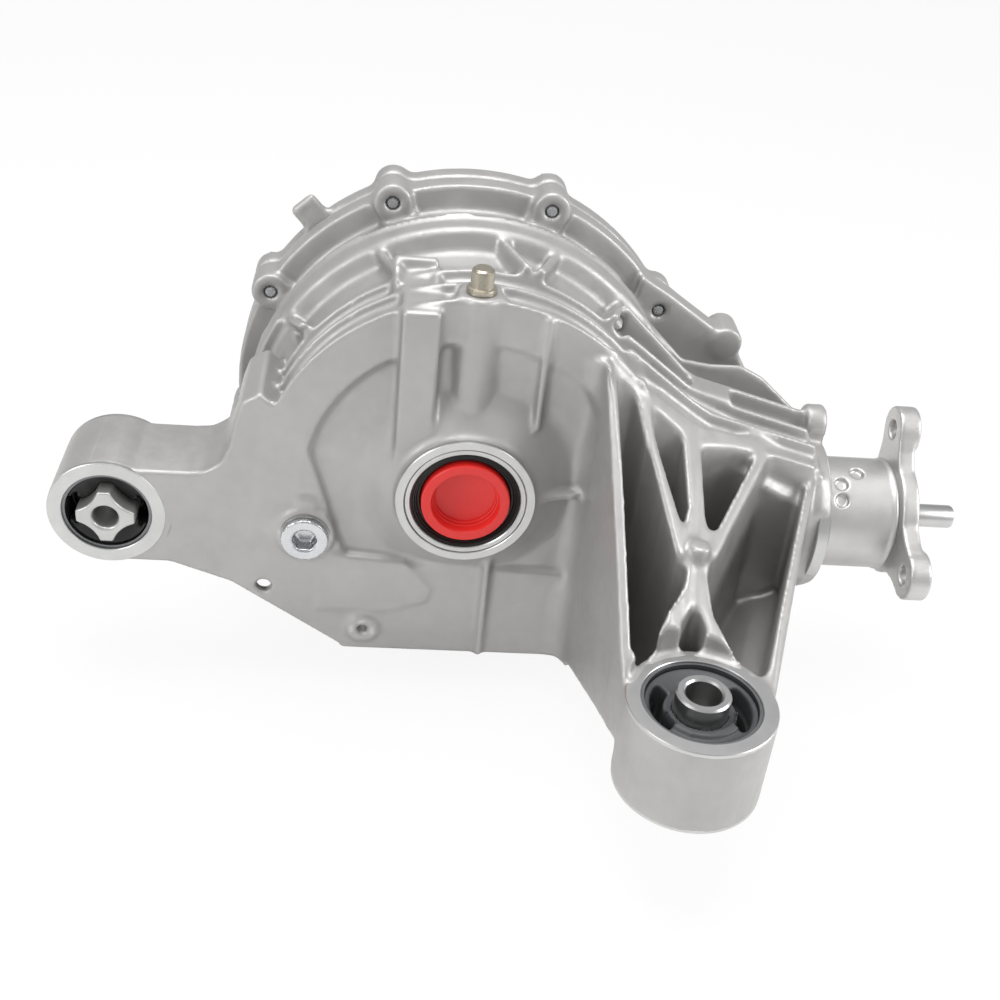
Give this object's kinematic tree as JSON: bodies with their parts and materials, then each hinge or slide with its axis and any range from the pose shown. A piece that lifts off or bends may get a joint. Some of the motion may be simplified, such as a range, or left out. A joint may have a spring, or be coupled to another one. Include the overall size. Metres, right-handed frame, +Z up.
{
  "type": "rear differential",
  "caption": "Cast aluminium rear differential: ribbed case with side cover and rubber mounts, drive flange, and working hypoid and bevel gears inside.",
  "frame": {"origin": "centre of the near output boss on its machined face", "axes": "+X forwards along the pinion axis, +Y along the output axis away from the near output, +Z up"},
  "size_m": [0.5315, 0.354, 0.2788],
  "materials": {
    "cast_aluminium": "as cast and bead blasted, machined faces brighter",
    "sealant": "cured liquid sealant",
    "zinc_steel": "zinc plated",
    "plain_steel": "machined, lightly oiled",
    "core_aluminium": "extruded",
    "pressed_steel": "pressed sheet",
    "black_rubber": "moulded",
    "grey_rubber": "moulded",
    "red_plastic": "moulded, satin",
    "bearing_steel": "ground",
    "hardened_steel": "ground and phosphated",
    "cast_iron": "machined",
    "black_steel": "black oxide",
    "bronze": "plain bearing bronze"
  },
  "bodies": {
    "housing": {"main_case": "cast_aluminium", "side_cover": "cast_aluminium", "joint_sealant": "sealant", "cover_bolts": "zinc_steel", "dowel_pins": "plain_steel", "fill_plug": "zinc_steel", "fill_plug_washer": "core_aluminium", "drain_plug": "zinc_steel", "drain_plug_washer": "core_aluminium", "breather": "zinc_steel", "rear_bush_shell": "pressed_steel", "rear_bush_rubber": "black_rubber", "rear_bush_core": "core_aluminium", "front_bush_shell": "pressed_steel", "front_bush_rubber": "grey_rubber", "front_bush_sleeve": "plain_steel", "near_seal_case": "pressed_steel", "far_seal_case": "pressed_steel", "near_output_seal": "black_rubber", "far_output_seal": "black_rubber", "near_transit_plug": "red_plastic", "far_transit_plug": "red_plastic", "pinion_seal": "black_rubber", "head_bearing_cup": "bearing_steel", "tail_bearing_cup": "bearing_steel", "near_bearing_cup": "bearing_steel", "far_bearing_cup": "bearing_steel", "near_preload_shim": "plain_steel", "far_preload_shim": "plain_steel"},
    "pinion": {"pinion_depth_shim": "plain_steel", "pinion_gear": "hardened_steel", "head_bearing_cone": "bearing_steel", "tail_bearing_cone": "bearing_steel", "crush_sleeve": "plain_steel", "drive_flange": "plain_steel", "flange_sleeve": "plain_steel", "pinion_nut": "zinc_steel", "centring_pin": "plain_steel"},
    "carrier": {"carrier": "cast_iron", "ring_gear": "hardened_steel", "ring_gear_bolts": "black_steel", "near_bearing_cone": "bearing_steel", "far_bearing_cone": "bearing_steel", "cross_pin": "hardened_steel", "cross_pin_lock": "black_steel", "side_gear_washers": "bronze", "planet_washers": "bronze"},
    "near_side_gear": {"near_side_gear": "hardened_steel"},
    "far_side_gear": {"far_side_gear": "hardened_steel"},
    "upper_planet": {"upper_planet_gear": "hardened_steel"},
    "lower_planet": {"lower_planet_gear": "hardened_steel"},
    "head_rollers": {"head_bearing_rollers": "bearing_steel", "head_bearing_cage": "pressed_steel"},
    "tail_rollers": {"tail_bearing_rollers": "bearing_steel", "tail_bearing_cage": "pressed_steel"},
    "near_rollers": {"near_bearing_rollers": "bearing_steel", "near_bearing_cage": "pressed_steel"},
    "far_rollers": {"far_bearing_rollers": "bearing_steel", "far_bearing_cage": "pressed_steel"}
  },
  "joints": [
    {"name": "carrier_spin", "type": "hinge", "parent": "housing", "child": "carrier", "pos_m": [0, 0, 0], "axis": [0, 1, 0], "continuous": true},
    {"name": "pinion_spin", "type": "hinge", "parent": "housing", "child": "pinion", "pos_m": [0, 0.06, -0.032], "axis": [1, 0, 0], "continuous": true},
    {"name": "near_side_gear_spin", "type": "hinge", "parent": "carrier", "child": "near_side_gear", "pos_m": [0, 0.078, 0], "axis": [0, 1, 0], "continuous": true},
    {"name": "far_side_gear_spin", "type": "hinge", "parent": "carrier", "child": "far_side_gear", "pos_m": [0, 0.078, 0], "axis": [0, 1, 0], "continuous": true},
    {"name": "upper_planet_spin", "type": "hinge", "parent": "carrier", "child": "upper_planet", "pos_m": [0, 0.078, 0], "axis": [0, 0, 1], "continuous": true},
    {"name": "lower_planet_spin", "type": "hinge", "parent": "carrier", "child": "lower_planet", "pos_m": [0, 0.078, 0], "axis": [0, 0, 1], "continuous": true},
    {"name": "near_rollers_spin", "type": "hinge", "parent": "housing", "child": "near_rollers", "pos_m": [0, 0, 0], "axis": [0, 1, 0], "continuous": true},
    {"name": "far_rollers_spin", "type": "hinge", "parent": "housing", "child": "far_rollers", "pos_m": [0, 0, 0], "axis": [0, 1, 0], "continuous": true},
    {"name": "head_rollers_spin", "type": "hinge", "parent": "housing", "child": "head_rollers", "pos_m": [0, 0.06, -0.032], "axis": [1, 0, 0], "continuous": true},
    {"name": "tail_rollers_spin", "type": "hinge", "parent": "housing", "child": "tail_rollers", "pos_m": [0, 0.06, -0.032], "axis": [1, 0, 0], "continuous": true}
  ],
  "couplings": [
    {"joint": "pinion_spin", "follows": "carrier_spin", "ratio": -3.6364},
    {"joint": "near_rollers_spin", "follows": "carrier_spin", "ratio": 0.4433},
    {"joint": "far_rollers_spin", "follows": "carrier_spin", "ratio": 0.4433},
    {"joint": "head_rollers_spin", "follows": "carrier_spin", "ratio": -1.5291},
    {"joint": "tail_rollers_spin", "follows": "carrier_spin", "ratio": -1.5066},
    {"joint": "far_side_gear_spin", "follows": "near_side_gear_spin", "ratio": -1},
    {"joint": "upper_planet_spin", "follows": "near_side_gear_spin", "ratio": 1.6},
    {"joint": "lower_planet_spin", "follows": "near_side_gear_spin", "ratio": -1.6}
  ]
}
